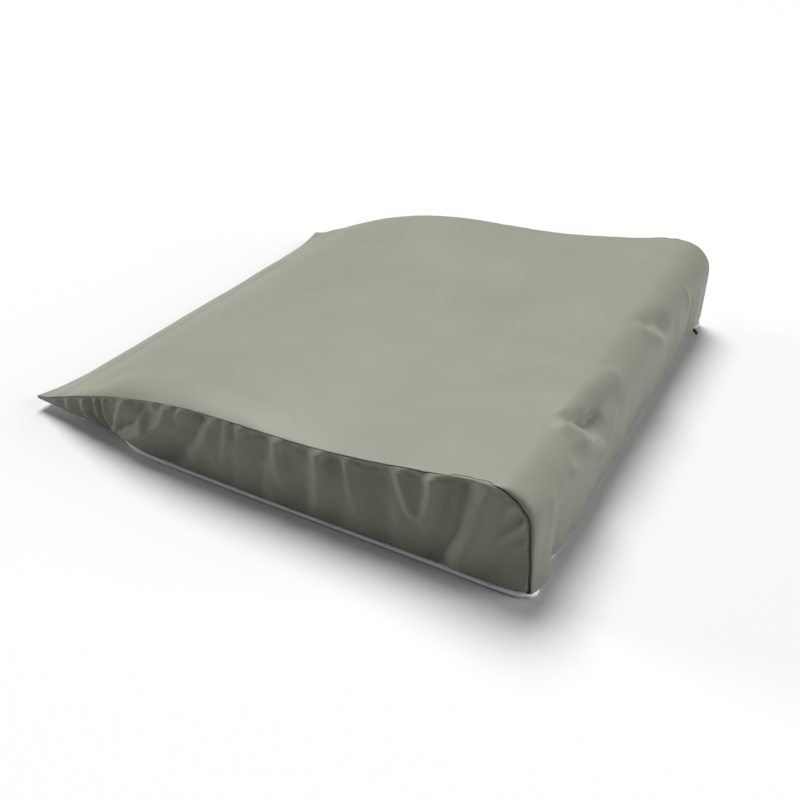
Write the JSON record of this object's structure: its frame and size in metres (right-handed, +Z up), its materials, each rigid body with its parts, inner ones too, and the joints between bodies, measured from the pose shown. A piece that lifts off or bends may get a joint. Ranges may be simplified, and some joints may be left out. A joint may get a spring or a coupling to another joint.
{
  "type": "changing pad",
  "caption": "Contoured wedge changing pad: a foam core rising from a thin foot edge to a rolled head side, in a wipe-clean cover that zips off along the bottom of the head side.",
  "frame": {"origin": "centre of the resting face, on the underside of the base panel", "axes": "+X from the thin foot edge to the thick head side, +Y from the near end to the far end, +Z up"},
  "size_m": [0.6873, 0.67, 0.124],
  "materials": {
    "foam": "open-cell polyurethane foam, pale cream",
    "cover_fabric": "polyurethane-coated fabric, fine grain, soft satin sheen, grey-green",
    "base_fabric": "plain woven polyester, off-white",
    "cover_thread": "polyester sewing thread, dark grey-green",
    "base_thread": "polyester sewing thread, white",
    "zip_tape": "woven polyester zipper tape, charcoal",
    "zip_coil": "extruded nylon monofilament, charcoal",
    "zip_metal": "die-cast zinc, charcoal lacquer",
    "pull_metal": "die-cast zinc, charcoal lacquer"
  },
  "bodies": {
    "pad": {"foam_core": "foam", "top_panel": "cover_fabric", "near_end_panel": "cover_fabric", "far_end_panel": "cover_fabric", "base_panel": "base_fabric", "base_seam_thread": "base_thread", "near_seam_thread": "cover_thread", "far_seam_thread": "cover_thread", "upper_zipper_tape": "zip_tape", "lower_zipper_tape": "zip_tape", "upper_zip_thread": "cover_thread", "lower_zip_thread": "base_thread", "upper_zipper_coil": "zip_coil", "lower_zipper_coil": "zip_coil", "zipper_top_stops": "zip_metal", "zipper_bottom_stop": "zip_metal"},
    "slider": {"zipper_slider": "zip_metal"},
    "pull_tab": {"zipper_pull": "pull_metal"}
  },
  "joints": [
    {"name": "zip_slide", "type": "slide", "parent": "pad", "child": "slider", "axis": [0, -1, 0], "range_m": [0, 0.563], "deforming": ["upper_zipper_coil", "lower_zipper_coil"]},
    {"name": "pull_hinge", "type": "hinge", "parent": "slider", "child": "pull_tab", "pos_m": [0.3353, 0.298, 0.0075], "axis": [0, 0, 1], "range_deg": [-30, 140]}
  ]
}
